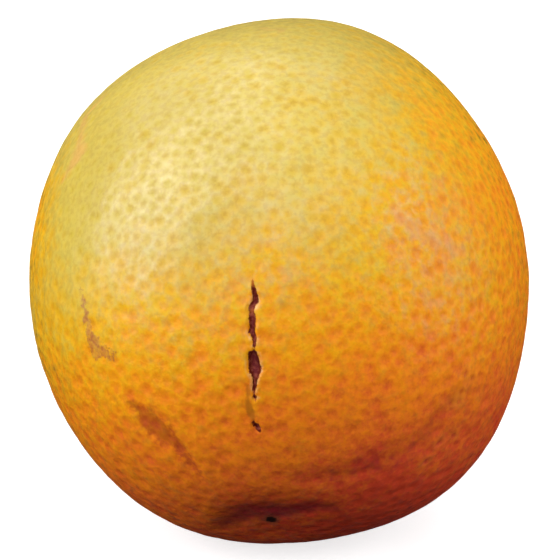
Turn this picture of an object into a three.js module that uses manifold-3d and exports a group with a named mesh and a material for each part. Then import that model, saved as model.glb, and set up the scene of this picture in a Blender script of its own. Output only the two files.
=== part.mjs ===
// A whole sweet orange at life size, lying as it would on a table: the blossom
// end points down towards the front, and the stem end is up at the back. The
// fruit is one solid. The dried stem button in its hollow is the other.
// Millimetres, +Z up, the table at Z = 0, the fruit's middle over the origin.

import * as THREE from 'three';
import { mergeVertices } from 'three/addons/utils/BufferGeometryUtils.js';
import Module from 'manifold-3d';

// ---------------------------------------------------------------- dimensions
// Lengths are millimetres and angles are degrees.

const MEAN_RADIUS = 38.55;   // the fruit as a plain ball
const CORE_STRETCH = 2.6;    // its radius at the two ends, less its radius at the waist
const CORE_LEAN = 49;        // how far the core leans back from upright
const CORE_TURN = 2.5;       // and how far it is turned from +Y towards +X
const TABLE_DROP = 37.0;     // from the fruit's centre down to the table
const FOOT_EDGE = 0.7;       // how softly the pressed foot turns into the side

// Gentle swells, counted round a girdle that leans back from upright. Each has
// its number of rises, their height, and the bearing of one rise from +X.
const GIRDLE_LEAN = 20;
const SWELLS = [
  { rises: 2, height: 0.36, bearing: -45 },
  { rises: 3, height: 0.28, bearing: -43 },
  { rises: 4, height: 0.38, bearing: -35 },
  { rises: 5, height: 0.14, bearing: 16 },
  { rises: 6, height: 0.22, bearing: 12 },
];

// Places on the skin are given as on a globe: the angle from the stem end, and
// the longitude, counted from the front meridian to the right.

// Soft hollows in the peel. A higher power gives a flatter floor.
const BLOSSOM_DIP = { width: 7.6, depth: 0.75, power: 4 };
const STEM_BOWL = { width: 7.0, depth: 2.4, power: 2 };
const PRESS_MARK = { width: 6.5, depth: 0.45, power: 2, fromStem: 138, longitude: 72 };
const FURROWS = { count: 9, depth: 0.3, middle: 9.0, width: 4.5 };

// The split in the peel, which follows a meridian on the front.
const SPLIT = { longitude: -4.2, start: 118, end: 150, width: 1.5, depth: 1.7 };

// The stem button: a star of dried sepals round the broken end of the stem.
const BUTTON = { radius: 4.3, sepals: 5, notch: 0.2, gap: 0.35, edge: 0.6, bevel: 0.25 };
const STUB = { radius: 1.6, shoulder: 0.8, height: 1.5, hollow: 0.7 };

// How finely each piece is faceted.
const FRUIT_DETAIL = 18;     // cuts along each edge of the twenty-sided starting ball
const SPLIT_STEPS = 24;      // along the split
const SPLIT_SIDES = 10;      // round its cross-section
const BUTTON_STEPS = 40;     // round the button
const MERGE_WITHIN = 1e-5;   // vertices of a unit ball closer than this are one

// ---------------------------------------------------------------- directions

const radians = THREE.MathUtils.degToRad;

// A unit vector that leans from upright by one angle, away from the front, and
// is turned from +Y towards +X by another.
function leaning(lean, turn) {
  const across = Math.sin(radians(lean));
  return new THREE.Vector3(
    across * Math.sin(radians(turn)),
    across * Math.cos(radians(turn)),
    Math.cos(radians(lean)),
  );
}

const STEM = leaning(CORE_LEAN, CORE_TURN);
const BLOSSOM = STEM.clone().negate();

const UP = new THREE.Vector3(0, 0, 1);
const GIRDLE_RIGHT = new THREE.Vector3(1, 0, 0);
const GIRDLE_UP = leaning(GIRDLE_LEAN, 0);

// Two directions square to the core: longitude 90 and longitude 0.
const CORE_RIGHT = new THREE.Vector3().crossVectors(STEM, UP).normalize();
const CORE_FRONT = new THREE.Vector3().crossVectors(CORE_RIGHT, STEM);

// The direction at an angle from the stem end and a longitude, in radians.
function globe(fromStem, longitude) {
  const across = Math.sin(fromStem);
  return STEM.clone().multiplyScalar(Math.cos(fromStem))
    .addScaledVector(CORE_FRONT, across * Math.cos(longitude))
    .addScaledVector(CORE_RIGHT, across * Math.sin(longitude));
}

const PRESS_CENTRE = globe(radians(PRESS_MARK.fromStem), radians(PRESS_MARK.longitude));

// ---------------------------------------------------------------- the surface

// Distance over the skin between two directions from the centre.
function skinDistance(a, b) {
  return MEAN_RADIUS * a.angleTo(b);
}

// A round hollow's depth, which fades out smoothly from its middle.
function hollow(direction, centre, shape) {
  const distance = skinDistance(direction, centre) / shape.width;
  return shape.depth * Math.exp(-(distance ** shape.power));
}

function swell(direction) {
  const right = direction.dot(GIRDLE_RIGHT);
  const up = direction.dot(GIRDLE_UP);
  const bearing = Math.atan2(up, right);
  const reach = Math.hypot(right, up);
  let rise = 0;
  for (const { rises, height, bearing: peak } of SWELLS) {
    rise += height * reach ** rises * Math.cos(rises * (bearing - radians(peak)));
  }
  return rise;
}

function furrow(direction) {
  const longitude = Math.atan2(direction.dot(CORE_RIGHT), direction.dot(CORE_FRONT));
  const distance = (skinDistance(direction, STEM) - FURROWS.middle) / FURROWS.width;
  const spokes = 0.5 + 0.5 * Math.cos(FURROWS.count * longitude);
  return FURROWS.depth * Math.exp(-distance * distance) * spokes;
}

// Only directions that point down more steeply than this can meet the table.
const TABLE_SLOPE = 0.2;

// The lower of two values, with the corner between them rounded off.
function softMin(a, b, edge) {
  const blend = Math.max(edge - Math.abs(a - b), 0) / edge;
  return Math.min(a, b) - blend * blend * edge / 4;
}

// How far the skin is from the centre along a unit direction.
function skinRadius(direction) {
  const along = direction.dot(STEM);
  let radius = MEAN_RADIUS + CORE_STRETCH * (along * along - 1 / 3);
  radius += swell(direction);
  radius -= hollow(direction, BLOSSOM, BLOSSOM_DIP);
  radius -= hollow(direction, STEM, STEM_BOWL);
  radius -= hollow(direction, PRESS_CENTRE, PRESS_MARK);
  radius -= furrow(direction);
  if (direction.z > -TABLE_SLOPE) return radius;
  return softMin(radius, TABLE_DROP / -direction.z, FOOT_EDGE);
}

// ---------------------------------------------------------------- mesh helpers

// Moves every vertex of a unit ball to where place() puts it.
function reshape(ball, place) {
  ball.deleteAttribute('normal');
  ball.deleteAttribute('uv');
  const closed = mergeVertices(ball, MERGE_WITHIN);
  const position = closed.getAttribute('position');
  const point = new THREE.Vector3();
  for (let i = 0; i < position.count; i += 1) {
    point.fromBufferAttribute(position, i);
    position.setXYZ(i, ...place(point).toArray());
  }
  return closed;
}

// The body with the cutter's shape taken out of it.
async function subtract(body, cutter) {
  const wasm = await Module();
  wasm.setup();
  const solid = (geometry) => new wasm.Manifold(new wasm.Mesh({
    numProp: 3,
    vertProperties: new Float32Array(geometry.getAttribute('position').array),
    triVerts: new Uint32Array(geometry.index.array),
  }));
  const mesh = solid(body).subtract(solid(cutter)).getMesh();
  const result = new THREE.BufferGeometry();
  result.setAttribute('position', new THREE.BufferAttribute(mesh.vertProperties, 3));
  result.setIndex(new THREE.BufferAttribute(mesh.triVerts, 1));
  return result;
}

// ---------------------------------------------------------------- the fruit

function wholeFruit() {
  const ball = new THREE.IcosahedronGeometry(1, FRUIT_DETAIL);
  return reshape(ball, (point) => {
    const direction = point.clone().normalize();
    return direction.multiplyScalar(skinRadius(direction));
  });
}

// A slim seed shape, bent to follow the skin: the ball's poles are the two tips
// of the split, and its cross-section is the split's width and depth.
function splitCutter() {
  const ball = new THREE.SphereGeometry(1, SPLIT_SIDES, SPLIT_STEPS);
  const longitude = radians(SPLIT.longitude);
  const across = globe(Math.PI / 2, longitude + Math.PI / 2);
  return reshape(ball, (point) => {
    const along = (1 - point.y) / 2;
    const fromStem = radians(THREE.MathUtils.lerp(SPLIT.start, SPLIT.end, along));
    const line = globe(fromStem, longitude);
    return line.clone().multiplyScalar(skinRadius(line) + point.z * SPLIT.depth)
      .addScaledVector(across, point.x * SPLIT.width / 2);
  });
}

// ---------------------------------------------------------------- the button

const smoothstep = THREE.MathUtils.smoothstep;

// Height of the button's top over the skin, at a distance from its middle.
function buttonTop(distance) {
  const stub = 1 - smoothstep(distance, STUB.radius, STUB.radius + STUB.shoulder);
  const pith = 1 - smoothstep(distance, 0, STUB.radius);
  return BUTTON.gap + BUTTON.edge + STUB.height * stub - STUB.hollow * pith;
}

// The ball's lower half lies just over the skin, and its upper half is the top.
// The star fades towards the middle, so that the stub is round, and the two
// halves blend over a narrow bevel round the rim.
function stemButton() {
  const ball = new THREE.SphereGeometry(1, BUTTON_STEPS, BUTTON_STEPS / 2);
  return reshape(ball, (point) => {
    const longitude = Math.atan2(point.x, point.z);
    const reach = Math.hypot(point.x, point.z);
    const star = BUTTON.notch * Math.cos(BUTTON.sepals * longitude) * reach ** 3;
    const distance = BUTTON.radius * reach * (1 + star);
    const direction = globe(distance / MEAN_RADIUS, longitude);
    const top = THREE.MathUtils.inverseLerp(-BUTTON.bevel, BUTTON.bevel, point.y);
    const blend = THREE.MathUtils.clamp(top, 0, 1);
    const height = THREE.MathUtils.lerp(BUTTON.gap, buttonTop(distance), blend);
    return direction.multiplyScalar(skinRadius(direction) + height);
  });
}

// ---------------------------------------------------------------- the object

function piece(name, geometry, colour, roughness) {
  const material = new THREE.MeshStandardMaterial({ color: colour, roughness, metalness: 0 });
  const mesh = new THREE.Mesh(geometry, material);
  mesh.name = name;
  return mesh;
}

const fruitGeometry = await subtract(wholeFruit(), splitCutter());
fruitGeometry.computeBoundingBox();
const middle = fruitGeometry.boundingBox.getCenter(new THREE.Vector3());

const orange = new THREE.Group();
orange.add(piece('orange', fruitGeometry, 0xe9a325, 0.42));
orange.add(piece('stem_button', stemButton(), 0x6f5f38, 0.85));
orange.position.set(-middle.x, -middle.y, TABLE_DROP);

export default orange;
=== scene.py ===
# %% [markdown]
# # A whole orange
#
# This lesson dresses one sweet orange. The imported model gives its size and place, and the
# two pieces that a real one has: the fruit, and the dried stem button in its hollow.
# Everything you see is made here again as a fine surface: the pores, a dry split in the
# peel, a few scars and the small dark scar at the blossom end.
#
# A fruit looks like plastic if it is a perfect ball of one colour. What makes it real is
# the order of its sizes: a lumpy outline, then soft hollows, then pores, then the colour.

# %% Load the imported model
import math

import bpy
import numpy as np
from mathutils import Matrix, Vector


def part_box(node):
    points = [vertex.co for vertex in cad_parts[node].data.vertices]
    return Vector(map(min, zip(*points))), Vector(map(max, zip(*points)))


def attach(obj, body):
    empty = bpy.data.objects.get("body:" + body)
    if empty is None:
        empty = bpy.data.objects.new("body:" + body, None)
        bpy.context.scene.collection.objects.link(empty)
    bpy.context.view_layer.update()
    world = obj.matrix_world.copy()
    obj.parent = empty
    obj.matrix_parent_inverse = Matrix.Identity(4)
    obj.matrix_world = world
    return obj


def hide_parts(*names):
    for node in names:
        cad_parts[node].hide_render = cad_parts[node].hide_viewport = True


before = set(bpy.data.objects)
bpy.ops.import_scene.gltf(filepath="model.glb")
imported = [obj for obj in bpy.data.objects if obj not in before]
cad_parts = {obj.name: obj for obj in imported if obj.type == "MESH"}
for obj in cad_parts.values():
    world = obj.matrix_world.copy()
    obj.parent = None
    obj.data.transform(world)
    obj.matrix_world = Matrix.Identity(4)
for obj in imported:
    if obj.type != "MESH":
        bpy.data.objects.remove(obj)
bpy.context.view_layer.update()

# %% [markdown]
# ## The measures of the fruit
#
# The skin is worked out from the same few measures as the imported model, in metres and
# degrees. The core is the line from the stem end to the blossom end. It leans back, so
# the blossom end points down to the front and the stem button sits high at the back.

# %% Measures of the fruit
MM = 0.001
MEAN_RADIUS = 38.55 * MM
CORE_STRETCH = 2.6 * MM
CORE_LEAN = 49
CORE_TURN = 2.5
TABLE_DROP = 37.0 * MM      # from the fruit's centre down to the table
FOOT_EDGE = 0.7 * MM        # how wide the edge of the flat foot is rounded

GIRDLE_LEAN = 20
SWELLS = [  # how many rises, their height, and the bearing of one rise
    (2, 0.36 * MM, -45),
    (3, 0.28 * MM, -43),
    (4, 0.38 * MM, -35),
    (5, 0.14 * MM, 16),
    (6, 0.22 * MM, 12),
]
print("mean diameter, millimetres:", round(2 * MEAN_RADIUS / MM, 1))

# %% [markdown]
# ## Directions
#
# Directions are arrays whose last axis holds x, y and z. Places on the skin are given as
# on a globe: the angle from the stem end, and the longitude, which counts from the front
# meridian to the right. So a mark can be put on the fruit by two angles that anyone who
# holds it can point at.

# %% Directions
def unit(v):
    """Each vector divided by its own length."""
    v = np.asarray(v, float)
    return v / np.linalg.norm(v, axis=-1, keepdims=True)


def leaning(lean, turn):
    """The direction that leans from upright by one angle, turned from +Y towards +X."""
    lean, turn = math.radians(lean), math.radians(turn)
    across = math.sin(lean)
    return np.array([across * math.sin(turn), across * math.cos(turn), math.cos(lean)])


STEM = leaning(CORE_LEAN, CORE_TURN)
BLOSSOM = -STEM
CORE_RIGHT = unit(np.cross(STEM, (0, 0, 1)))
CORE_FRONT = np.cross(CORE_RIGHT, STEM)

RIGHT = np.array([1.0, 0.0, 0.0])        # right, up and front as the leaning girdle has them
UP = leaning(GIRDLE_LEAN, 0)
FRONT = np.cross(RIGHT, UP)


def globe(from_stem, longitude):
    """Directions at an angle from the stem end and a longitude, both in degrees."""
    t, g = np.radians(from_stem)[..., None], np.radians(longitude)[..., None]
    return np.cos(t) * STEM + np.sin(t) * (np.cos(g) * CORE_FRONT + np.sin(g) * CORE_RIGHT)


def from_stem(n):
    """The angle from the stem end, in degrees."""
    return np.degrees(np.arccos(np.clip(n @ STEM, -1, 1)))


def longitude(n):
    """The longitude of each direction, in degrees."""
    return np.degrees(np.arctan2(n @ CORE_RIGHT, n @ CORE_FRONT))


print("stem end:", STEM.round(3), " blossom end:", BLOSSOM.round(3))

# %% [markdown]
# ## The shape of the skin
#
# A height over a ball is the simplest shape that a fruit can have: one distance from the
# centre for each direction. So the whole form is one sum, and no modelling by hand is
# needed: a stretch along the core, some swells that make the outline uneven, and round
# hollows where the stem and the flower were. The table presses a small flat foot.

# %% The shape of the skin
BLOSSOM_DIP = (7.6 * MM, 0.75 * MM, 4)      # width, depth, and the power that shapes it
STEM_BOWL = (7.0 * MM, 2.4 * MM, 2)
PRESS_MARK = (6.5 * MM, 0.45 * MM, 2)
PRESS_PLACE = globe(np.array(138.0), np.array(72.0))
FURROWS = (9, 0.3 * MM, 9.0 * MM, 4.5 * MM)  # count, depth, middle and width of the ring


def skin_distance(n, place):
    """The way over the skin from each direction to one place: radius times angle."""
    return MEAN_RADIUS * np.arccos(np.clip(n @ place, -1, 1))


def fade(start, end, x):
    """0 up to start and 1 past end, with a smooth S between: 3t^2 - 2t^3."""
    t = np.clip((x - start) / (end - start), 0, 1)
    return t * t * (3 - 2 * t)


def hollow(n, place, shape):
    """A round dent: depth times e to the minus (distance over width) to a power."""
    width, depth, power = shape
    return depth * np.exp(-((skin_distance(n, place) / width) ** power))


def swells(n):
    """Rises round a leaning girdle: each is a cosine of the bearing, times the reach from
    the girdle's axis to the power of its count, so that it dies out at the front."""
    right, up = n @ RIGHT, n @ UP
    bearing, reach = np.arctan2(up, right), np.hypot(right, up)
    return sum(
        height * reach**rises * np.cos(rises * (bearing - math.radians(peak)))
        for rises, height, peak in SWELLS
    )


def furrows(n):
    """Spokes round the stem bowl: a ring that fades both ways, times a cosine round it."""
    count, depth, middle, width = FURROWS
    ring = np.exp(-(((skin_distance(n, STEM) - middle) / width) ** 2))
    return depth * ring * (0.5 + 0.5 * np.cos(count * np.radians(longitude(n))))


def soft_min(a, b, edge):
    """The lower of two values, with the corner between them rounded off."""
    blend = np.maximum(edge - np.abs(a - b), 0) / edge
    return np.minimum(a, b) - blend * blend * edge / 4


def skin_radius(n):
    """The distance from the centre to the skin along each unit direction."""
    radius = MEAN_RADIUS + CORE_STRETCH * ((n @ STEM) ** 2 - 1 / 3) + swells(n)
    radius -= hollow(n, BLOSSOM, BLOSSOM_DIP) + hollow(n, STEM, STEM_BOWL)
    radius -= hollow(n, PRESS_PLACE, PRESS_MARK) + furrows(n)
    table = TABLE_DROP / np.maximum(-n[..., 2], 0.2)
    return np.where(n[..., 2] < -0.2, soft_min(radius, table, FOOT_EDGE), radius)


print("radius at the stem and the blossom, millimetres:",
      (skin_radius(np.array([STEM, BLOSSOM])) / MM).round(2))

# %% [markdown]
# ## A grid with no poles
#
# A globe's grid crowds at its poles and would pinch the pores there. Six square grids,
# laid over a cube and blown up to a ball, stay nearly even all over. Where two grids
# meet they share their edge points, so the skin has no seam.

# %% Six grids over a ball
STEPS = 128


def side_grid(outward, right, up):
    """Directions over one side of the cube, at equal angles from -45 to 45 degrees."""
    slope = np.tan(np.radians(np.linspace(-45, 45, STEPS + 1)))
    u, v = np.meshgrid(slope, slope, indexing="ij")
    return unit(outward + u[..., None] * right + v[..., None] * up)


def squares(grids):
    """The four corners of every square in a row of grids, taken round the square."""
    return np.stack(
        [grids[:, :-1, :-1], grids[:, 1:, :-1], grids[:, 1:, 1:], grids[:, :-1, 1:]], axis=3
    )


sides = [
    (FRONT, RIGHT, UP), (-FRONT, -RIGHT, UP), (RIGHT, -FRONT, UP),
    (-RIGHT, FRONT, UP), (UP, RIGHT, -FRONT), (-UP, RIGHT, FRONT),
]
grids = np.array([side_grid(*side) for side in sides])
_, first, shared = np.unique(
    grids.reshape(-1, 3).round(7), axis=0, return_index=True, return_inverse=True
)
directions = grids.reshape(-1, 3)[first]
quads = squares(shared.reshape(grids.shape[:3])).reshape(-1, 4)
print("grid:", len(directions), "points,", len(quads), "squares")

# %% [markdown]
# ## The split
#
# The peel of this fruit has dried and torn along a meridian. The tear is one or two
# millimetres wide, which is only a few squares of the grid. Instead of making the whole
# grid finer, the points on both sides are drawn in towards it, as cloth is gathered to a
# seam. Each station below says how far the tear's left and right edge lie to the right of
# the meridian, and how wide open the peel gapes there. Where the right edge is not to the
# right of the left one, the peel is whole.

# %% The torn line
SPLIT_LONGITUDE = -4.2
SPLIT = np.array([  # degrees from the stem end, left edge and right edge in mm, how open
    (118.0, 0.35, 0.25, 0.0), (119.4, 0.02, 0.52, 0.1), (121.0, 0.14, 0.86, 0.8),
    (122.6, 0.22, 1.05, 0.9), (123.2, -0.04, 1.05, 0.9), (123.7, -0.30, 0.60, 0.7),
    (124.8, -0.38, 0.45, 0.3), (126.4, -0.40, 0.60, 0.5), (128.6, -0.36, 0.46, 1.0),
    (129.3, -0.54, 0.46, 0.9), (129.8, -0.22, 0.54, 0.9), (130.6, 0.00, 0.62, 0.8),
    (132.0, 0.10, 0.48, 0.6), (132.5, 0.26, 0.34, 0.2), (132.9, 0.10, 0.32, 0.1),
    (133.2, -0.60, 0.62, 0.7), (133.8, -0.66, 0.68, 1.0), (134.8, -0.68, 0.80, 1.0),
    (136.8, -0.68, 1.10, 1.0), (137.6, -0.58, 0.98, 1.0), (138.4, -0.30, 0.72, 0.9),
    (139.0, -0.12, 0.46, 0.8), (140.2, -0.24, 0.32, 0.8), (141.4, -0.34, 0.12, 0.7),
    (142.0, -0.14, -0.04, 0.4), (142.8, -0.32, 0.26, 0.8), (143.7, 0.12, 0.04, 0.0),
    (148.0, -0.45, -0.55, 0.0), (148.5, -0.72, -0.02, 1.0), (149.4, -0.56, 0.34, 1.0),
    (150.2, -0.22, 0.50, 1.0), (150.8, 0.42, 0.32, 0.0),
])
SPLIT_START, SPLIT_END = SPLIT[0, 0], SPLIT[-1, 0]
GATHER = 0.85              # how strongly the grid is drawn in: 1 would pull it to a line
GATHER_WIDTH = 3.5 * MM
GATHER_CLEAR, GATHER_ENDS = 2, 14    # degrees past each end: still whole, and died out


def beside_split(n):
    """How far each direction lies to the right of the split's meridian, in metres."""
    return MEAN_RADIUS * np.sin(np.radians(from_stem(n))) * np.radians(
        (longitude(n) - SPLIT_LONGITUDE + 180) % 360 - 180
    )


def gather_to_split(n):
    """Draws points sideways to the split: x becomes x(1 - gather e^-(x/width)^2)."""
    angle, side = from_stem(n), beside_split(n)
    window = fade(SPLIT_START - GATHER_ENDS, SPLIT_START - GATHER_CLEAR, angle)
    window = window * (1 - fade(SPLIT_END + GATHER_CLEAR, SPLIT_END + GATHER_ENDS, angle))
    drawn = side * (1 - GATHER * window * np.exp(-((side / GATHER_WIDTH) ** 2)))
    turn = np.degrees((drawn - side) / MEAN_RADIUS / np.maximum(np.sin(np.radians(angle)), 0.1))
    return np.where((window > 0)[:, None], globe(angle, longitude(n) + turn), n)


def inside_split(n):
    """How far each direction is inside the nearer edge, half the width, and how open the
    split is there. All in metres but the last. Outside the first number is negative."""
    angle, side = from_stem(n), beside_split(n)
    left, right, opened = [np.interp(angle, SPLIT[:, 0], SPLIT[:, k]) for k in (1, 2, 3)]
    inside = np.minimum(side - left * MM, right * MM - side)
    return inside, np.maximum(right - left, 0) / 2 * MM, opened


directions = gather_to_split(directions)
print("points within 1 mm of the split:", int((np.abs(beside_split(directions)) < MM).sum()))

# %% [markdown]
# ## The pores
#
# Orange peel is dotted with oil glands, each under a tiny dent. They are never in rows,
# yet they keep their distance, as if they push each other away. So that is how they are
# made: random points on a ball that push their neighbours apart a few times.

# %% Place the pores
PORES = 5000
HILLS = 2400
BLOCK = 2000                # rows worked on at a time, to save memory
PUSH = 0.35                 # how far a point gives way in one round
rng = np.random.default_rng(7)


def pushed_apart(points, rounds):
    """Moves each point away from its neighbours, weighted by e^-(distance/reach)^2."""
    reach = math.sqrt(4 * math.pi / len(points))
    for _ in range(rounds):
        push = np.empty_like(points)
        for start in range(0, len(points), BLOCK):
            some = points[start : start + BLOCK]
            weight = np.exp(np.float32(2 / reach**2) * (some @ points.T - 1))
            push[start : start + BLOCK] = some * weight.sum(1, keepdims=True) - weight @ points
        points = unit(points + PUSH * push).astype(np.float32)
    return points


def scattered(count, rounds):
    """Directions spread at random over the ball, and then pushed apart."""
    return pushed_apart(unit(rng.normal(size=(count, 3))).astype(np.float32), rounds)


pores = scattered(PORES, 6)
pore_size = rng.beta(1.5, 2.0, PORES)              # 0 for the smallest, 1 for the largest
dent_width = (0.62 + 0.50 * pore_size) * MM
dent_depth = (0.025 + 0.115 * pore_size) * MM
pore_radius = (0.50 + 0.42 * pore_size) * MM
hills = scattered(HILLS, 2)
hill_width = rng.uniform(1.1, 2.4, HILLS) * MM
hill_height = rng.normal(0, 0.013, HILLS) * hill_width
print("pores:", PORES, " mean spacing, millimetres:",
      round(MEAN_RADIUS * math.sqrt(4 * math.pi / PORES) / MM, 2))

# %% [markdown]
# Each pore is a round dent, and the peel between them rises and falls in low hills. Both
# are the same sum over many places. It is worked out for a block of points at a time,
# because all points against all places at once would fill the memory.

# %% Dents and hills
def sum_of_dents(n, places, width, depth):
    """The sum over all places of depth times e^-(distance/width)^2."""
    narrow = (2 * (MEAN_RADIUS / width) ** 2).astype(np.float32)
    total = np.empty(len(n), np.float32)
    for start in range(0, len(n), BLOCK):
        near = n[start : start + BLOCK].astype(np.float32) @ places.T
        total[start : start + BLOCK] = np.exp((near - 1) * narrow) @ depth.astype(np.float32)
    return total


def nearest_pore(n):
    """The number of the pore that each direction is nearest to, in pore radii."""
    weight = (1 / pore_radius**2).astype(np.float32)
    nearest = np.empty(len(n), int)
    for start in range(0, len(n), BLOCK):
        near = n[start : start + BLOCK].astype(np.float32) @ pores.T
        nearest[start : start + BLOCK] = np.argmin((1 - near) * weight, axis=1)
    return nearest


dents = sum_of_dents(directions, pores, dent_width, dent_depth)
rise = sum_of_dents(directions, hills, hill_width, hill_height)
print("dents to", round(float(dents.max()) / MM, 3), "mm, hills to",
      round(float(rise.max()) / MM, 3), "mm")

# %% [markdown]
# ## Marks on the peel
#
# Peel that rubbed on a twig heals into a smooth, pinkish brown scar, and a lighter rub leaves a scuff.
# Where the peel gave way and dried it has a dark crease. Where the fruit lay on something it has a
# soft hollow with small pits beside it; its darkening is partly bruise and partly painted shade, and
# the pits' rims are painted paler, partly as painted highlight. A fold crosses the blossom end,
# darkened with painted shade. Marks could be painted by hand, but then they would be kept in the file
# as a picture. Here each one is a chain of places with a half width, so it stays a short list that is
# easy to move.

# %% Where the marks are
SCARS = {  # degrees from the stem end, longitude, half width in millimetres
    "elbow": [(110.5, -50.2, 0.1), (114.8, -50.2, 0.6), (118.3, -51.0, 0.75), (121.9, -51.4, 0.95),
              (124.9, -51.0, 1.4), (126.6, -48.6, 1.0), (128.0, -46.2, 0.45)],
    "back": [(62.0, 150.0, 0.5), (67.0, 154.0, 1.1), (73.0, 152.0, 0.8), (80.0, 157.0, 0.2)],
    "low back": [(112.0, 205.0, 0.4), (116.0, 214.0, 0.9), (117.0, 224.0, 0.3)],
}
SCUFFS = {
    "shoulder": [(61.0, -50.5, 0.8), (65.5, -54.5, 1.1), (72.0, -52.0, 0.9), (78.8, -50.0, 1.9),
                 (83.0, -54.5, 0.9)],
    "crown": [(46.5, -5.7, 0.6), (48.0, 0.0, 0.8)],
    "cheek": [(99.8, 26.6, 0.7), (102.6, 31.5, 1.3), (103.8, 38.0, 1.4), (103.0, 47.0, 0.8)],
    "back cheek": [(88.0, 120.0, 1.5), (93.0, 128.0, 2.4), (99.0, 131.0, 1.2)],
}
CREASES = {
    "lens": [(138.4, -49.0, 0.1), (140.8, -47.8, 0.7), (143.8, -46.0, 1.8),
             (147.0, -43.8, 1.7), (150.0, -41.0, 0.7), (155.3, -42.2, 0.2), (159.0, -42.5, 0.0)],
    "left nick": [(105.5, -90.0, 0.3), (108.0, -89.5, 0.7), (110.5, -90.5, 0.3)],
}
PRESSED = {
    "low right": [(131.0, 62.0, 0.0), (136.0, 60.5, 0.6), (140.8, 63.0, 0.8), (145.7, 61.5, 1.2),
                  (149.7, 55.4, 1.7), (154.0, 50.6, 1.9), (158.0, 42.0, 1.3), (160.5, 30.0, 0.8),
                  (161.5, 16.0, 0.2)],
}
# a groove across the blossom end; its darkening below is painted shade
FOLDS = {
    "blossom": [(168.5, -114.0, 1.0), (172.0, -97.0, 1.8), (174.6, -60.0, 2.3), (176.2, 3.0, 2.4),
                (174.0, 46.0, 1.6), (169.0, 58.5, 0.9), (166.0, 64.6, 0.4)],
}
PITS = globe(*np.array([  # degrees from the stem end, longitude
    (126.0, 60.8), (129.4, 63.4), (132.7, 62.5), (131.3, 65.0), (125.7, 64.4), (140.1, 71.2),
    (136.6, 74.4), (144.6, 73.4),
]).T)
print("marks:", sum(map(len, (SCARS, SCUFFS, CREASES, PRESSED, FOLDS))), " pits:", len(PITS))

# %% [markdown]
# A point's depth inside a mark is the mark's half width less the distance to the chain.
# It is positive inside and negative outside, so one fade of it gives a soft edge of any
# width. A few crossed waves make that edge ragged, because nothing on peel is ruled.

# %% How deep each point is inside a mark
FAR_OUTSIDE = -5 * MM
RAGGEDNESS = 0.15 * MM
PIT_WIDTH, PIT_RIM_WIDTH = 0.50 * MM, 0.95 * MM


def ragged(n, coarse, size):
    """A few crossed sine waves over the ball, about one high, of the given coarseness."""
    waves = unit(np.random.default_rng(3).normal(size=(7, 3))) * coarse
    return size * np.sin(n @ waves.T + np.arange(7)).sum(1) / 3


def inside_chain(n, chain):
    """Half width less distance, in metres, to the nearest piece of a chain of places."""
    places = np.array([globe(np.array(a), np.array(g)) for a, g, _ in chain]) * MEAN_RADIUS
    widths = np.array([w for _, _, w in chain]) * MM
    best = np.full(len(n), -1.0)
    for a, b, wide_a, wide_b in zip(places, places[1:], widths, widths[1:]):
        along = np.clip((n * MEAN_RADIUS - a) @ (b - a) / ((b - a) @ (b - a)), 0, 1)
        gap = np.linalg.norm(n * MEAN_RADIUS - a - along[:, None] * (b - a), axis=1)
        best = np.maximum(best, wide_a + along * (wide_b - wide_a) - gap)
    return best


def inside_any(chains):
    """The deepest that each point is inside any of the chains, edges made ragged."""
    best = np.max([inside_chain(directions, chain) for chain in chains.values()], axis=0)
    return np.maximum(best + ragged(directions, 60, RAGGEDNESS), FAR_OUTSIDE)


def round_spots(places, width):
    """1 at each place, dying out as e^-(distance/width)^2."""
    return sum_of_dents(directions, places, np.full(len(places), width), np.ones(len(places)))


scar = inside_any(SCARS)
scuff = inside_any(SCUFFS)
crease = inside_any(CREASES)
pressed = fade(-2.4 * MM, 2.0 * MM, inside_any(PRESSED))
fold = fade(-1.9 * MM, 1.6 * MM, inside_any(FOLDS))
pitted = round_spots(PITS, PIT_WIDTH)
rimmed = np.maximum(round_spots(PITS, PIT_RIM_WIDTH) - 1.3 * pitted, 0.0)
print("points in scars:", int((scar > 0).sum()), " in scuffs:", int((scuff > 0).sum()))

# %% [markdown]
# ## The gash and its lips
#
# A tear in dry peel is a shallow trough, deepest where it is widest, between lips that
# curl up a little. A half circle across it does well: the square root of one less the
# square of the way across. Beside the tear lie two older, closed tears, as soft grooves.

# %% Gash, lips and old tears
SPLIT_DEPTH = 1.5 * MM
SPLIT_HALF_WIDEST = 0.85 * MM
SPLIT_HALF_LEAST = 0.02 * MM
LIP_WIDTH = 0.45 * MM
OLD_TEARS = [  # middle and reach in degrees, mm to the left, slant, half width in mm, strength
    (145.9, 2.5, 0.75, 0.12, 0.65, 1.0),
    (141.3, 2.0, 0.85, 0.0, 0.50, 0.75),
]

inside, half, opened = inside_split(directions)
across = np.clip(1 - inside / np.maximum(half, SPLIT_HALF_LEAST), 0, 1)
gash = SPLIT_DEPTH * opened * np.sqrt(half / SPLIT_HALF_WIDEST) * np.sqrt(1 - across**2)
gash = np.where(inside > 0, gash, 0)
lip = np.exp(-((inside / LIP_WIDTH) ** 2)) * opened * np.where(inside < 0, 1, 0)

angle, side = from_stem(directions), beside_split(directions)
old_tear = np.zeros(len(directions))
for tear_at, reach, to_left, slant, width, strength in OLD_TEARS:
    off_line = side + (to_left - slant * (angle - tear_at)) * MM
    along = (angle - tear_at) / reach
    old_tear += strength * np.exp(-(along**2) - (off_line / (width * MM)) ** 2)
print("gash to", round(float(gash.max()) / MM, 2), "mm")

# %% [markdown]
# ## One surface from it all
#
# Now every point has its distance from the centre: the smooth skin, less the pores'
# dents, the gash and the marks. The dents are shallower on the pale cheek above, they
# nearly fade out in the scars, where the peel healed smooth, and on the foot, which lies
# flat on the table, they are gone. A Displace modifier could do the same from a texture,
# but a sum of arrays keeps every depth in millimetres.

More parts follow.
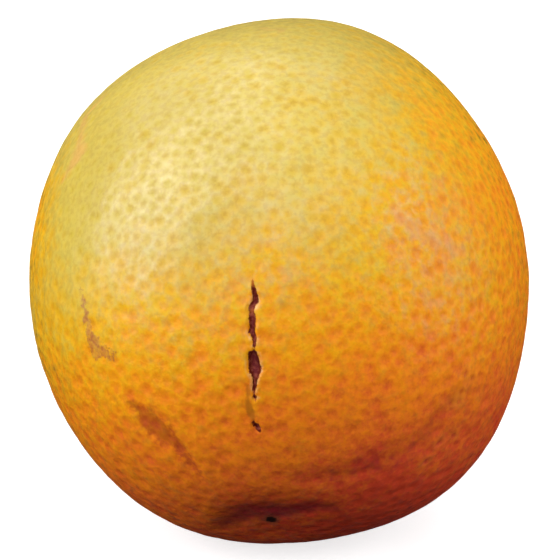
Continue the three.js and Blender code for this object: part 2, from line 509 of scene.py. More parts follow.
# %% Carve the skin
LIP_HEIGHT = 0.12 * MM
OLD_TEAR_DEPTH = 0.2 * MM
SCAR_DEPTH = 0.06 * MM
CREASE_DEPTH = 0.28 * MM
FOLD_DEPTH = 0.30 * MM
PRESSED_DEPTH = 0.25 * MM
PIT_DEPTH, PIT_RIM_HEIGHT = 0.16 * MM, 0.10 * MM
CALM = 0.42                 # the share of the dents that is left on the pale cheek

skin = skin_radius(directions)
on_foot = fade(-0.02 * MM, 0.5 * MM, skin * directions[:, 2] + TABLE_DROP)
healed_over = fade(-0.1 * MM, 0.3 * MM, scar)
lively = CALM + (1 - CALM) * fade(-0.45, 0.15, -directions @ UP)

dents = dents * lively * (1 - 0.7 * healed_over)
radius = skin - (dents - rise) * on_foot - SCAR_DEPTH * healed_over
radius += LIP_HEIGHT * lip - gash - OLD_TEAR_DEPTH * old_tear
radius -= CREASE_DEPTH * fade(-0.9 * MM, 0.7 * MM, crease)
radius -= PIT_DEPTH * pitted - PIT_RIM_HEIGHT * rimmed
radius -= FOLD_DEPTH * fold + PRESSED_DEPTH * pressed
points = directions * radius[:, None]

fruit_low, fruit_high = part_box("orange")
middle = (points.max(0) + points.min(0)) / 2
centre = np.array([(fruit_low[i] + fruit_high[i]) / 2 - middle[i] for i in (0, 1)] + [TABLE_DROP])
points = points + centre
print("skin, millimetres:", (np.ptp(points, axis=0) / MM).round(2))

# %% [markdown]
# ## The mesh
#
# A mesh takes whole arrays at once through foreach_set. What the material needs to know
# about each point goes along as attributes, in the same way.

# %% Arrays to a mesh
def new_piece(name, points, quads, smooth=True):
    """A mesh object at the origin, made from an array of points and one of faces."""
    mesh = bpy.data.meshes.new(name)
    mesh.vertices.add(len(points))
    mesh.vertices.foreach_set("co", np.asarray(points, np.float32).ravel())
    mesh.loops.add(quads.size)
    mesh.loops.foreach_set("vertex_index", quads.astype(np.int32).ravel())
    mesh.polygons.add(len(quads))
    mesh.polygons.foreach_set("loop_start", np.arange(0, quads.size, quads.shape[1], dtype=np.int32))
    mesh.polygons.foreach_set("use_smooth", np.full(len(quads), smooth))
    mesh.update(calc_edges=True)
    mesh.validate()
    piece = bpy.data.objects.new(name, mesh)
    bpy.context.scene.collection.objects.link(piece)
    return piece


def give(piece, name, values, domain="POINT"):
    """Stores one number, or one vector, for each point or face corner."""
    kind, key = ("FLOAT_VECTOR", "vector") if np.ndim(values) > 1 else ("FLOAT", "value")
    layer = piece.data.attributes.new(name, kind, domain)
    layer.data.foreach_set(key, np.asarray(values, np.float32).ravel())


peel = new_piece("peel", points, quads)
print("peel:", len(peel.data.polygons), "faces,", len(peel.data.edges), "edges")

# %% [markdown]
# Pores are finer than the grid, so the material draws their dark centres. For each face
# the nearest pore is found once, and each corner gets its offset from it, in radii of
# that pore. The offset runs evenly over the face, so its length draws a crisp round dot.
# The marks go along in millimetres, which are easier to read in a material than metres.

# %% Tell the material where pores and marks are
face_pore = nearest_pore(unit(directions[quads].mean(1)))
pore_offset = directions[quads] - pores[face_pore][:, None]
pore_offset = pore_offset * (MEAN_RADIUS / pore_radius[face_pore])[:, None, None]
give(peel, "pore", np.clip(pore_offset, -4, 4).reshape(-1, 3), "CORNER")
give(peel, "pore_size", np.repeat(pore_size[face_pore], 4), "CORNER")

split_along = np.clip((angle - SPLIT_START) / (SPLIT_END - SPLIT_START), 0, 1)
for name, values in {
    "split_side": np.clip(side / MM, -9, 9),
    "split_along": split_along,
    "old_tear": old_tear,
    "scar": scar / MM,
    "scuff": scuff / MM,
    "crease": crease / MM,
    "pitted": pitted,
    "rimmed": rimmed,
    "fold": fold,
    "pressed": pressed,
    "blossom": skin_distance(directions, BLOSSOM) / MM,
    "stem": skin_distance(directions, STEM) / MM,
}.items():
    give(peel, name, values)
print("attributes:", len(peel.data.attributes))

# %% [markdown]
# ## Ripeness and painted shade
#
# Sun and shade ripen a fruit unevenly. One number says how deep the orange is at each point: least on
# the cheek that faced up and left, most near the blossom end and right. Towards the underside the
# deeper, darker orange is partly painted shade. A single number is enough, because one ramp can turn
# it into every colour from greenish yellow to red brown.

# %% Ripeness and painted shade
to_right, upward = directions @ RIGHT, directions @ UP
# deeper towards the bottom: partly ripeness, partly painted shade for the underside
ripeness = fade(-0.57, 0.97, 0.26 * to_right - 0.965 * upward)
ripeness += 0.33 * fade(0.0, 0.8, to_right) * fade(-0.1, 0.4, upward)      # the right shoulder
ripeness += 0.36 * fade(0.75, 1.0, -to_right) * fade(-0.2, 0.3, upward)    # the far left rim
ripeness += 0.05 * fade(0.0, 0.4, to_right) * fade(0.1, 0.5, -upward)      # the lower right
ripeness += ragged(directions, 5, 0.02) + ragged(directions, 13, 0.02)
give(peel, "ripeness", ripeness)
print("ripeness from", round(float(ripeness.min()), 2), "to", round(float(ripeness.max()), 2))

# %% [markdown]
# Two places on the cheeks have less red and green: painted shade where the sheen lamps' veil is
# brightest, which keeps the highlight from bleaching the colour. Each is a round patch with a soft
# edge.

# %% Painted shade where the sheen is brightest
def cheek(right, up, reach):
    """1 at one place on the front and 0 beyond a reach in degrees: a fade of the cosine."""
    front = math.sqrt(1 - right**2 - up**2)
    nearness = directions @ (right * RIGHT + up * UP + front * FRONT)
    return fade(math.cos(math.radians(reach)), 0.99, nearness)


# painted shade at the brightest sheen, on the upper left and the upper right
dull = 0.14 * cheek(-0.44, 0.42, 32) + 0.05 * cheek(0.63, 0.25, 24)
give(peel, "dull", dull)
print("dullest:", round(float(dull.max()), 2))

# %% [markdown]
# ## A map for baking
#
# When the fruit leaves Blender, its finish is painted into a picture, and every point
# needs a place there. An automatic unwrap would cut the peel into many scraps. The six
# grids are square already, so they simply lie side by side, three across and two up.

# %% Six squares side by side
ACROSS, HIGH = 3, 2
MARGIN = 0.012

which = np.arange(len(sides))[:, None, None]
line = np.linspace(MARGIN, 1 - MARGIN, STEPS + 1)
u, v = np.meshgrid(line, line, indexing="ij")
flat = np.stack([(which % ACROSS + u) / ACROSS, (which // ACROSS + v) / HIGH], -1)
bake_map = peel.data.uv_layers.new(name="OFBake")
bake_map.data.foreach_set("uv", squares(flat).astype(np.float32).ravel())
print("squares in the map:", len(sides), " corners:", len(bake_map.data))

# %% [markdown]
# ## The stem button
#
# Where the fruit hung, five dried sepals stay behind as a small star with the broken end
# of the stem in its middle. It is a flat cap, so its two parameters are the way out from
# the middle and the way round. The top and the underside are two sheets of one closed
# surface that meet at the star's rim.

# %% Shape the stem button
SEPALS = 5
BUTTON_RADIUS = 4.3 * MM
BUTTON_NOTCH = 0.2
BUTTON_GAP = 0.35 * MM
BUTTON_EDGE = 0.6 * MM
RIB_HEIGHT, GRAIN_HEIGHT, TORN_HEIGHT = 0.10 * MM, 0.05 * MM, 0.12 * MM
STUB = dict(radius=1.6 * MM, shoulder=0.8 * MM, height=1.5 * MM, hollow=0.7 * MM)


def button_sheet(out, turn, top):
    """Points of one sheet: out runs 0 to 1 from the middle to the rim, turn in radians.
    The underside keeps the gap over the skin. The top adds the edge's thickness, which
    thins to the rim, ribs along the sepals, and the stub with its hollow pith."""
    star = BUTTON_NOTCH * np.cos(SEPALS * turn) * out**3
    jag = 0.035 * np.sin(17 * turn + 1) + 0.025 * np.sin(29 * turn) + 0.02 * np.sin(43 * turn + 2)
    distance = BUTTON_RADIUS * out * (1 + star + jag * out**4)
    stub = 1 - fade(STUB["radius"], STUB["radius"] + STUB["shoulder"], distance)
    pith = 1 - fade(0.2 * MM, STUB["radius"] * 0.9, distance)
    grain = np.sin(31 * turn + 6 * np.sin(2 * turn)) * np.sin(9 * out + 2)
    ribs = RIB_HEIGHT * np.cos(SEPALS * turn) * fade(0.45, 0.75, out) * (1 - out**6)
    ribs = ribs + GRAIN_HEIGHT * grain * fade(0.1, 0.4, out)
    torn = TORN_HEIGHT * np.sin(7 * turn + 1) * np.sin(3 * turn) * stub
    edge = BUTTON_EDGE * np.sqrt(np.clip(1 - out**8, 0, 1))
    height = edge + STUB["height"] * stub - STUB["hollow"] * pith + ribs * (1 - out**8) + torn
    lift = BUTTON_GAP + (height if top else 0)
    n = globe(np.degrees(distance / MEAN_RADIUS), np.degrees(turn))
    return n * (skin_radius(n) + lift)[..., None]


ROUND, OUT = 240, 56
UNDER_STEP = 4              # the underside has one ring for four of the top

out, turn = np.meshgrid(
    np.linspace(0, 1, OUT + 1), np.arange(ROUND) * 2 * np.pi / ROUND, indexing="ij"
)
out = np.sin(out * np.pi / 2) ** 0.9
under_out, under_turn = out[:-1][::UNDER_STEP], turn[:-1][::UNDER_STEP]
upper = button_sheet(out, turn, True)
under = button_sheet(under_out, under_turn, False)
rings = np.concatenate([upper[1:], under[1:][::-1]])
button_points = np.concatenate([rings.reshape(-1, 3), upper[:1, 0], under[:1, 0]]) + centre
print("stem button:", len(button_points), "points")

# %% [markdown]
# The rings are joined by strips of squares, from the middle of the top over the rim to
# the middle of the underside. At both middles a fan of triangles closes the surface, so
# the mesh has faces with three and with four corners, and from_pydata suits it better.

# %% Build the stem button
row = np.arange(len(rings) - 1)[:, None] * ROUND
spot = np.arange(ROUND)[None]
ahead = (spot + 1) % ROUND
strip = np.stack([row + spot, row + ROUND + spot, row + ROUND + ahead, row + ahead], -1).reshape(-1, 4)
last = (len(rings) - 1) * ROUND
tips = len(rings) * ROUND
top_fan = np.stack([spot[0], ahead[0], np.full(ROUND, tips)], -1)
under_fan = np.stack([last + ahead[0], last + spot[0], np.full(ROUND, tips + 1)], -1)

button_mesh = bpy.data.meshes.new("calyx")
button_mesh.from_pydata(
    button_points.tolist(), [], strip.tolist() + top_fan.tolist() + under_fan.tolist()
)
button_mesh.shade_smooth()
calyx = bpy.data.objects.new("calyx", button_mesh)
bpy.context.scene.collection.objects.link(calyx)
give(calyx, "out", np.concatenate([out[1:].ravel(), under_out[1:][::-1].ravel(), [0, 0]]))
print("stem button:", len(button_mesh.polygons), "faces")

# %% [markdown]
# ## Writing materials as sums
#
# A node tree is arithmetic drawn as boxes. This small class wraps a socket, so that
# Python's own operators add the Math nodes, and a finish reads like a formula.

# %% Sockets as numbers
class Wire:
    """One output socket. +, - and * make Math nodes, with numbers or other wires."""

    def __init__(self, nodes, socket):
        self.nodes, self.socket = nodes, socket

    def maths(self, operation, first, second):
        """A Math node that works on two values, which may be wires."""
        return self.nodes.node("ShaderNodeMath", {"operation": operation}, {0: first, 1: second})

    def __add__(self, other):
        return self.maths("ADD", self, other)

    def __radd__(self, other):
        return self.maths("ADD", other, self)

    def __sub__(self, other):
        return self.maths("SUBTRACT", self, other)

    def __rsub__(self, other):
        return self.maths("SUBTRACT", other, self)

    def __mul__(self, other):
        return self.maths("MULTIPLY", self, other)

    def __rmul__(self, other):
        return self.maths("MULTIPLY", other, self)

    def least(self, other):
        """The lower of the two."""
        return self.maths("MINIMUM", self, other)

    def most(self, other):
        """The higher of the two."""
        return self.maths("MAXIMUM", self, other)


# %% [markdown]
# Every node tree is filled in the same way, whether it belongs to a material or to the
# surroundings: a node gets its settings, then its sockets, and hands back a wire.

# %% Node trees
class Nodes:
    """A node tree, and one method that adds any node to it."""

    def __init__(self, owner):
        owner.use_nodes = True
        self.tree = owner.node_tree

    def feed(self, socket, value):
        """Links a wire to a socket, or sets the socket to a plain value."""
        if isinstance(value, Wire):
            self.tree.links.new(value.socket, socket)
        else:
            socket.default_value = value

    def node(self, kind, settings=None, sockets=None, output=0):
        """Adds any node: its settings first, then its sockets, by name or by number."""
        node = self.tree.nodes.new(kind)
        for name, value in (settings or {}).items():
            if name == "stops":
                set_stops(node.color_ramp, value)
            else:
                setattr(node, name, value)
        for name, value in (sockets or {}).items():
            self.feed(node.inputs[name], value)
        return Wire(self, node.outputs[output])

    def ramp(self, value, stops):
        """The colour that a list of places and colours gives to a value."""
        return self.node("ShaderNodeValToRGB", {"stops": stops}, {0: value})


def set_stops(ramp, stops):
    """Gives a colour ramp its places and colours."""
    while len(ramp.elements) < len(stops):
        ramp.elements.new(1)
    for element, (at, colour) in zip(ramp.elements, stops):
        element.position, element.color = at, (*colour, 1)


# %% [markdown]
# A finish is a material with Blender's Principled shader. Its noise reads the piece's own
# coordinates, so the pattern is fixed to the fruit and has a size in metres.

# %% Finishes
class Finish(Nodes):
    """A material with a Principled shader, and the nodes that feed it."""

    def __init__(self, name, **values):
        self.material = bpy.data.materials.new(name)
        super().__init__(self.material)
        self.shader = self.tree.nodes["Principled BSDF"]
        self.set(**values)

    def set(self, **values):
        """Feeds the shader's sockets. Their names are written with _ for a space."""
        for name, value in values.items():
            self.feed(self.shader.inputs[name.replace("_", " ")], value)

    def attribute(self, name, output="Fac"):
        """What a piece stores under a name at each of its points."""
        return self.node("ShaderNodeAttribute", {"attribute_name": name}, output=output)

    def step(self, start, end, value):
        """0 up to start and 1 past end, smooth between. Start may be the larger."""
        return self.node(
            "ShaderNodeMapRange", {"interpolation_type": "SMOOTHSTEP"},
            {"Value": value, "From Min": start, "From Max": end},
        )

    def noise(self, size, detail=2.0, roughness=0.5):
        """Soft noise from 0 to 1, whose blobs are about the given size in metres."""
        where = self.node("ShaderNodeTexCoord", output="Object")
        return self.node(
            "ShaderNodeTexNoise", {},
            {"Vector": where, "Scale": 1 / size, "Detail": detail, "Roughness": roughness},
        )

    def frayed(self, name, amount, size, detail=2.0, roughness=0.5):
        """An attribute with noise added, so that whatever is cut from it has a torn edge."""
        return self.attribute(name) + (self.noise(size, detail, roughness) - 0.5) * amount

    def mix(self, factor, a, b, blend="MIX"):
        """Mixes two colours, which may be wires."""
        a, b = [c if isinstance(c, Wire) else (*c, 1) for c in (a, b)]
        return self.node(
            "ShaderNodeMix", {"data_type": "RGBA", "blend_type": blend}, {0: factor, 6: a, 7: b}, 2
        )

    def bump(self, height, distance):
        """A normal that looks as if the height, times a distance in metres, stood up."""
        return self.node(
            "ShaderNodeBump", {}, {"Height": height, "Distance": distance, "Strength": 1.0}
        )


# %% [markdown]
# ## The peel's finish
#
# Peel is a waxed skin over yellow and orange glands. Its colour follows ripeness, with painted shade
# below, broken up by soft mottling the size of a gland. Each pore shows three ways: a small dark
# centre, partly the gland's colour and partly painted shade in its pit, a speck with no wax, and a
# wide dimple where the glands show through in a deeper orange. All three are rounds of different sizes
# about the same point.

# %% Pores, as the material sees them
finish = Finish("peel", IOR=1.4, Specular_IOR_Level=0.25, Coat_Roughness=0.27, Coat_IOR=2.0)
away = finish.node(
    "ShaderNodeVectorMath", {"operation": "LENGTH"}, {0: finish.attribute("pore", "Vector")}, "Value"
)
gland = finish.attribute("pore_size")
in_scar = finish.step(-0.25, 0.35, finish.frayed("scar", 4.0, 0.9 * MM, 4, 0.65))


def round_dot(rim, core, weakest):
    """1 within the core and 0 at the rim, in pore radii, weaker at small pores and scars."""
    return finish.step(rim, core, away) * (weakest + (1 - weakest) * gland) * (1 - 0.8 * in_scar)


pore = round_dot(1.3, 0.0, 0.15)
speck = round_dot(1.9, 0.3, 0.45)
dimple = round_dot(2.6, 0.2, 0.45)
print("pore masks:", len(finish.tree.nodes), "nodes")

# %% [markdown]
# The ramp holds the colours that peel goes through as it ripens, and its last, darkest stop is also
# painted shade for the underside. Everything that makes the colour uneven is added to the ripeness
# before the ramp, not painted on after it, so each fleck has a colour that peel really takes. Yellow
# peel is the most even. The mottling grows where yellow turns to orange, and it calms down in the
# deepest orange.

# %% Peel colour
RIPENING_AND_SHADE = [
    (0.0, (0.66, 0.505, 0.075)),
    (0.25, (0.81, 0.455, 0.012)),
    (0.50, (0.90, 0.355, 0.006)),
    (0.75, (0.90, 0.235, 0.011)),
    # the darkest stop, red brown, is partly painted shade for the underside
    (1.0, (0.72, 0.070, 0.026)),
]
ripe_and_shaded = finish.attribute("ripeness")
turning = finish.step(0.1, 0.4, ripe_and_shaded)
deepest = finish.step(0.6, 0.9, ripe_and_shaded)
mottle = (finish.noise(2.4 * MM, 1, 0.4) - 0.5) * 0.28
patches = (finish.noise(5.0 * MM, 1, 0.5) - 0.5) * 0.26
freckles = (finish.noise(0.5 * MM, 2, 0.6) - 0.5) * 0.30 * finish.step(0.0, 0.4, ripe_and_shaded)
unevenness = 0.40 + 0.60 * finish.step(0.0, 0.35, ripe_and_shaded) - 0.45 * deepest
deepening = 0.12 + 0.07 * turning - 0.13 * deepest
speckling = 0.08 * turning - 0.05 * deepest

depth_of_colour = ripe_and_shaded + (mottle + patches) * unevenness + freckles - 0.08
depth_of_colour = depth_of_colour + deepening * dimple + speckling * (speck - 0.2)
colour = finish.ramp(depth_of_colour, RIPENING_AND_SHADE)
print("peel colour:", len(finish.tree.nodes), "nodes")

# %% [markdown]
# Bruises and painted shade darken whatever colour lies under them, so they are multiplied in. The
# painted shade lies in the pores' pits, in the pressed hollow, in the fold across the blossom end and
# where the sheen is brightest. The bruise and the fold's painted shade take more red and green than
# blue, which turns orange into a cold brown.

# %% Painted shade and bruises
SHEEN_PATCH_SHADE = (0.22, 0.22, 1.0)
PORE_SHADE = (0.88, 0.86, 0.52)
SCUFF_BROWN = (0.72, 0.30, 0.12)
PIT_RIM_PALE_HIGHLIGHT = (0.95, 0.40, 0.03)
BRUISE_SHADE = (0.61, 0.48, 1.1)
FOLD_SHADE = (0.44, 0.31, 1.30)

in_scuff = finish.step(-0.5, 1.2, finish.frayed("scuff", 2.6, 1.1 * MM, 3))
in_crease = finish.step(-1.0, 0.6, finish.frayed("crease", 3.0, 1.0 * MM, 3))
# painted shade in the pressed hollow, partly bruise, in soft patches; the pits are darkened too
patchy_bruise_and_shade = 0.25 + 0.65 * finish.step(0.42, 0.62, finish.noise(1.6 * MM, 3))
bruise_and_shade = in_crease * 0.95 + finish.attribute("pitted") * 0.8 + finish.attribute("pressed") * patchy_bruise_and_shade
# painted shade in the pores' pits, partly the glands' colour, strongest on the pale upper side
shade_in_pores = pore * (1 - 0.6 * finish.step(0.4, 0.8, ripe_and_shaded))

# painted shade where the sheen is brightest: less red and green
colour = finish.mix(finish.attribute("dull"), colour, SHEEN_PATCH_SHADE, "MULTIPLY")
colour = finish.mix(shade_in_pores, colour, PORE_SHADE, "MULTIPLY")
colour = finish.mix(in_scuff * 0.42, colour, SCUFF_BROWN)
# pit rims painted paler amber: partly painted highlight on the raised rims
colour = finish.mix(finish.attribute("rimmed") * 0.42, colour, PIT_RIM_PALE_HIGHLIGHT)
colour = finish.mix(bruise_and_shade.least(1.0), colour, BRUISE_SHADE, "MULTIPLY")
# painted shade in the fold across the blossom end
colour = finish.mix(finish.attribute("fold"), colour, FOLD_SHADE, "MULTIPLY")
print("with bruises:", len(finish.tree.nodes), "nodes")

# %% [markdown]
# A healed scar is a thin film of cork. The peel's own colour still shows through it,
# pinker and darker, and the film is broken by small specks.

# %% Healed scars
SCAR_SHADE = (0.70, 0.50, 0.90)
SCAR_PINK = (0.60, 0.30, 0.20)
SCAR_MOTTLE = (0.84, 0.66, 0.80)
FLECK_SHADE = (0.92, 0.86, 0.80)

healed = finish.mix(0.12, finish.mix(1.0, colour, SCAR_SHADE, "MULTIPLY"), SCAR_PINK)
mottled = finish.step(0.56, 0.40, finish.noise(0.7 * MM, 2))
healed = finish.mix(mottled, healed, SCAR_MOTTLE, "MULTIPLY")
film = 0.60 + 0.40 * finish.step(0.36, 0.60, finish.noise(0.55 * MM, 2))
colour = finish.mix(in_scar * film, colour, healed)
fleck = finish.step(0.58, 0.36, finish.noise(0.8 * MM, 2, 0.6))
colour = finish.mix(fleck, colour, FLECK_SHADE, "MULTIPLY")
print("with scars:", len(finish.tree.nodes), "nodes")

# %% [markdown]
# The split's edges are much finer than the mesh, so the material draws them too. A ramp
# can hold three numbers for each place along the split: the left edge, the right edge and
# how open it is, as the red, green and blue of its stops. Inside lies dried maroon flesh,
# which is browner where the peel has hardly opened.

# %% Dried flesh in the split
EDGE_FROM, EDGE_SPAN = -1.0, 2.5      # fits the edges, in millimetres, into a colour's 0 to 1
FLESH_BROWN, FLESH_MAROON = (0.15, 0.012, 0.003), (0.22, 0.030, 0.034)
FLESH_FLECK, FLESH_CLOSED = (0.50, 0.13, 0.08), (0.46, 0.13, 0.012)

stations = [
    ((at - SPLIT_START) / (SPLIT_END - SPLIT_START),
     ((left - EDGE_FROM) / EDGE_SPAN, (right - EDGE_FROM) / EDGE_SPAN, how_open))
    for at, left, right, how_open in SPLIT
]
along_split = finish.attribute("split_along")
beside = finish.attribute("split_side")
drawn = finish.ramp(along_split, stations)
left_edge, right_edge, openness = [
    finish.node("ShaderNodeSeparateColor", {}, {0: drawn}, k) for k in range(3)
]
in_from_left = beside - (left_edge * EDGE_SPAN + EDGE_FROM)
in_from_right = (right_edge * EDGE_SPAN + EDGE_FROM) - beside
into_tear = in_from_left.least(in_from_right) + (finish.noise(0.35 * MM, 2) - 0.5) * 0.40
in_tear = finish.step(-0.05, 0.06, into_tear)

flesh = finish.mix(finish.step(0.15, 0.50, into_tear), FLESH_BROWN, FLESH_MAROON)
flecks = finish.step(0.42, 0.70, finish.noise(0.5 * MM, 3)) * 0.6
flesh = finish.mix(flecks, flesh, FLESH_FLECK)
flesh = finish.mix(finish.step(0.55, 0.05, openness), flesh, FLESH_CLOSED)
print("with flesh:", len(finish.tree.nodes), "nodes")

# %% [markdown]
# The torn lips dry out pale, most of all the right one; their pale colour is partly painted highlight
# on the raised edges. An old tear has closed brown.
# The blossom end is a small black scar with a brown halo, and round the stem the peel
# stays a little green.

# %% Lips, old tears and both ends
LIP_CREAM_HIGHLIGHT = (0.86, 0.50, 0.20)
OLD_TEAR_BROWN = (0.42, 0.135, 0.008)
BLOSSOM_HALO, BLOSSOM_BLACK = (0.16, 0.06, 0.03), (0.02, 0.008, 0.006)
STEM_GREEN = (0.50, 0.42, 0.06)
LAST_LIP = (0.80, 0.74)               # along the split, where the pale lips end

# pale lips: partly dried peel, partly painted highlight on the raised edges
pale_lip_and_highlight = finish.step(-0.65, -0.05, into_tear) * finish.step(0.2, 0.7, openness)
pale_lip_and_highlight = pale_lip_and_highlight * finish.step(0.46, 0.62, finish.noise(1.6 * MM, 2))
pale_lip_and_highlight = pale_lip_and_highlight * finish.step(*LAST_LIP, along_split)
lip_strength = 0.50 + 0.25 * finish.step(-0.1, 0.4, beside)
colour = finish.mix(pale_lip_and_highlight * lip_strength, colour, LIP_CREAM_HIGHLIGHT)
in_old_tear = finish.step(0.30, 0.70, finish.frayed("old_tear", 0.4, 0.6 * MM, 2))
colour = finish.mix(in_old_tear * 0.75, colour, OLD_TEAR_BROWN)
colour = finish.mix(in_tear, colour, flesh)

from_blossom = finish.frayed("blossom", 1.2, 0.9 * MM, 2)
heart = finish.step(0.95, 0.55, from_blossom)
colour = finish.mix(finish.step(1.9, 0.9, from_blossom) * 0.6, colour, BLOSSOM_HALO)
colour = finish.mix(heart, colour, BLOSSOM_BLACK)
near_stem = finish.step(13.0, 4.0, finish.frayed("stem", 6, 3 * MM, 2))
colour = finish.mix(near_stem * 0.45, colour, STEM_GREEN)
finish.set(Base_Color=colour)
print("whole colour:", len(finish.tree.nodes), "nodes")

# %% [markdown]
# ## Wax and gloss
#
# Peel has two shines: the skin's own, which is dull, and the wax over it. The wax is the
# shader's coat. It is thick and even on the pale cheek, and thin and patchy on the ripe
# side. Pores, scars and old tears have less of it, and the dry flesh has none. Without
# those gaps the sheen would look like lacquer.

# %% Peel gloss and wax
dry = in_tear.most(heart)
gloss = 0.42 + 0.20 * pore + (finish.noise(5 * MM, 3) - 0.5) * 0.10
gloss = gloss + 0.10 * in_scuff + 0.08 * in_scar + 0.40 * dry

sparse = finish.step(0.05, 0.45, ripe_and_shaded)
bloom = 0.62 - 0.27 * sparse - 0.27 * finish.step(0.35, 0.60, ripe_and_shaded)
bloom = bloom + (finish.noise(1.3 * MM, 2, 0.6) - 0.5) * (1.5 + 4.5 * sparse)
bloom = bloom + (finish.noise(2.6 * MM, 1) - 0.5) * 2.4 * sparse
over_pores = (1 - (0.78 - 0.18 * sparse) * speck) * (1 - 0.5 * dimple * sparse)
over_marks = (1 - 0.4 * in_scar.most(in_scuff)) * (1 - dry) * (1 - 0.7 * in_old_tear)
finish.set(Roughness=gloss, Coat_Weight=bloom * over_pores * over_marks)
print("with wax:", len(finish.tree.nodes), "nodes")

# %% [markdown]
# The finest relief is smaller than any square of the mesh, so it is bump: a fine grain,
# the sharp bottoms of the pores, and the wrinkles of the dry flesh. Like the dents, it is
# lowest on the pale cheek.

# %% Fine relief
RELIEF = 0.07 * MM
grain = finish.noise(0.7 * MM, 2, 0.5)
wrinkle = finish.noise(0.35 * MM, 3, 0.7) * in_tear
roughened = 0.25 + 0.90 * finish.step(0.0, 0.45, ripe_and_shaded) - 0.40 * finish.step(0.55, 0.9, ripe_and_shaded)
relief = (1.4 * grain - 1.1 * pore - 0.6 * dimple) * roughened + 0.8 * wrinkle
finish.set(Normal=finish.bump(relief, RELIEF))
peel.data.materials.append(finish.material)
print("peel finish:", len(finish.tree.nodes), "nodes")

# %% [markdown]
# ## The button's finish
#
# Dried sepals are grey brown with some green left in the folds, and the torn pith in the
# middle is paler and fibrous.

# %% Stem button finish
FIBRES = [(0.25, (0.055, 0.040, 0.018)), (0.5, (0.16, 0.13, 0.055)), (0.75, (0.32, 0.25, 0.12))]
SEPAL_GREEN = (0.17, 0.19, 0.05)
PITH = (0.42, 0.32, 0.17)

dried = Finish("dried_calyx", IOR=1.45)
fibre = dried.noise(0.5 * MM, 4, 0.65)
from_middle = dried.attribute("out")
tone = dried.ramp(fibre, FIBRES)
tone = dried.mix(dried.step(0.55, 0.95, from_middle) * 0.5, tone, SEPAL_GREEN)
tone = dried.mix(dried.step(0.36, 0.24, from_middle) * 0.8, tone, PITH)
dried.set(Base_Color=tone, Roughness=0.72 + 0.2 * fibre, Normal=dried.bump(fibre, 0.08 * MM))
calyx.data.materials.append(dried.material)
print("button finish:", len(dried.tree.nodes), "nodes")

# %% [markdown]
# ## Say what each piece is
#
# Both pieces are part of the one rigid body. Each stands for its plain solid in the
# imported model, which still gives the fruit its weight and its touch.

# %% Say what each piece is
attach(peel, "root")
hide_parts("orange")
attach(calyx, "root")
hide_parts("stem_button")
print("pieces:", peel.name, "and", calyx.name)

# %% [markdown]
# ## The floor
#
# The floor is a plain pale sheet that glows a little, so it stays nearly white round the
# fruit's own shadow. It is kept out of reflections and bounced light, because it would
# lift the warm shade on the underside.

# %% Floor
FLOOR_HALF = 3.0
FLOOR_GREY = (0.55, 0.55, 0.55, 1)
FLOOR_GLOW = 0.72

floor_corners = FLOOR_HALF * np.array([(-1, -1, 0), (1, -1, 0), (1, 1, 0), (-1, 1, 0)])
floor_sheet = new_piece("floor", floor_corners, np.array([[0, 1, 2, 3]]), smooth=False)
floor_finish = Finish(
    "pale_floor", Roughness=0.9, Base_Color=FLOOR_GREY,
    Emission_Color=(1, 1, 1, 1), Emission_Strength=FLOOR_GLOW,
)
floor_sheet.data.materials.append(floor_finish.material)
floor_sheet.visible_diffuse = False
floor_sheet.visible_glossy = False
floor_sheet.visible_shadow = False
print("floor, metres:", 2 * FLOOR_HALF)

# %% [markdown]
# ## The light
#
# The light is what a studio with large soft windows gives. It comes from fourteen round
# lamps in two groups. Six light only the colour, and they stand nearly all round, so that
# it is even and falls into warm shade only below. Eight light only the sheen: most stand
# high on the left, and make one wide pale veil on the wax. With the two apart, the sheen
# can be placed without washing out the colour.

# %% Lamps
LAMP_SIZE = 0.7
LAMP_DISTANCE = 0.8
COLOUR_LAMPS = [  # name, bearing from the front to the right, height angle, power in watts
    ("right fill", 80, 20, 5.0),
    ("left fill", -80, 20, 4.8),
    ("front high", 0, 45, 3.4),
    ("front left", -40, 20, 2.1),
    ("back left", -160, 20, 3.4),
    ("back right", 160, 45, 2.6),
]
SHEEN_LAMPS = [
    ("window low", -80, 30, 2.1),
    ("window", -80, 50, 1.5),
    ("window high", -80, 70, 1.25),
    ("window front", -20, 50, 0.5),
    ("window back", -140, 50, 1.0),
    ("skylight", 20, 70, 0.88),
    ("skylight back", 180, 70, 1.1),
    ("right window", 80, 50, 0.62),
]
fruit_centre = Vector(centre)


def aim(thing, target):
    """Turns a lamp or a camera so that its -Z axis points at the target."""
    thing.rotation_euler = (target - thing.location).to_track_quat("-Z", "Y").to_euler()


def softbox(name, bearing, height, power, sheen):
    """A round lamp at a bearing from the front and a height angle, both in degrees. It
    lights either the sheen or the colour."""
    lamp = bpy.data.lights.new(name, "AREA")
    lamp.shape, lamp.size, lamp.energy = "DISK", LAMP_SIZE, power
    box = bpy.data.objects.new(name, lamp)
    b, h = math.radians(bearing), math.radians(height)
    towards = Vector((math.sin(b) * math.cos(h), -math.cos(b) * math.cos(h), math.sin(h)))
    box.location = fruit_centre + towards * LAMP_DISTANCE
    aim(box, fruit_centre)
    box.visible_diffuse, box.visible_glossy = not sheen, sheen
    bpy.context.scene.collection.objects.link(box)


for lamps, sheen in ((COLOUR_LAMPS, False), (SHEEN_LAMPS, True)):
    for name, bearing, height, power in lamps:
        softbox(name, bearing, height, power, sheen)
print("lamps:", len(COLOUR_LAMPS), "for the colour,", len(SHEEN_LAMPS), "for the sheen")

# %% [markdown]
# ## Surroundings
#
# Behind the floor the world is plain white. The fruit itself sees a dim, warm world
# instead, a little brighter below, which fills the underside as light from a table does.

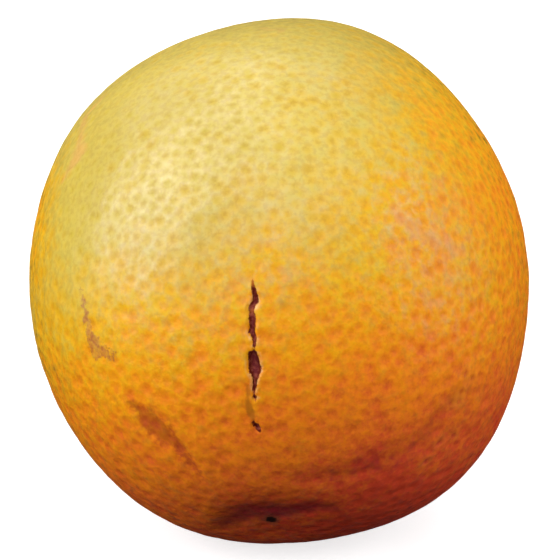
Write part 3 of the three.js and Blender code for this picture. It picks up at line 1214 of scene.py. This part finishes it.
# %% Surroundings
DIM_BELOW, DIM_ABOVE = (0.055, 0.022, 0.022), (0.03, 0.02, 0.02)
DIM_STOPS = [(0.40, DIM_BELOW), (0.55, DIM_ABOVE)]    # 0 is straight down, 1 straight up

world = bpy.data.worlds.new("studio")
bpy.context.scene.world = world
surroundings = Nodes(world)
backdrop = surroundings.tree.nodes["Background"]
backdrop.inputs["Color"].default_value = (1, 1, 1, 1)
backdrop.inputs["Strength"].default_value = 1.0
white = Wire(surroundings, backdrop.outputs[0])
where = surroundings.node("ShaderNodeTexCoord", output="Generated")
towards_sky = surroundings.node("ShaderNodeSeparateXYZ", {}, {0: where}, "Z")
dim_colour = surroundings.ramp(towards_sky * 0.5 + 0.5, DIM_STOPS)
dim = surroundings.node("ShaderNodeBackground", {}, {"Color": dim_colour, "Strength": 1.0})
seen = surroundings.node("ShaderNodeLightPath", output="Is Camera Ray")
both = surroundings.node("ShaderNodeMixShader", {}, {0: seen, 1: dim, 2: white})
surroundings.feed(surroundings.tree.nodes["World Output"].inputs[0], both)
print("surroundings:", len(surroundings.tree.nodes), "nodes")

# %% [markdown]
# ## The camera
#
# The camera looks slightly down at the middle of the fruit, from as near as one would
# look at a thing held in the hand. Its lens follows from what the frame takes in there.

# %% Camera
CAMERA_DISTANCE = 0.40
CAMERA_HEIGHT = 20           # degrees above level, which is the girdle's lean
FRAME_WIDTH = 84.3 * MM      # what the frame takes in, at the fruit's distance
AIM_ABOVE = 0.3 * MM

lens = bpy.data.cameras.new("camera")
camera = bpy.data.objects.new("camera", lens)
bpy.context.scene.collection.objects.link(camera)
bpy.context.scene.camera = camera
tilt = math.radians(CAMERA_HEIGHT)
aim_point = fruit_centre + Vector(UP) * AIM_ABOVE
camera.location = aim_point + Vector((0, -math.cos(tilt), math.sin(tilt))) * CAMERA_DISTANCE
aim(camera, aim_point)
lens.lens = lens.sensor_width * CAMERA_DISTANCE / FRAME_WIDTH
lens.clip_start, lens.clip_end = 0.01, 20
bpy.context.scene.view_settings.view_transform = "Standard"
print("lens, millimetres:", round(lens.lens, 1))
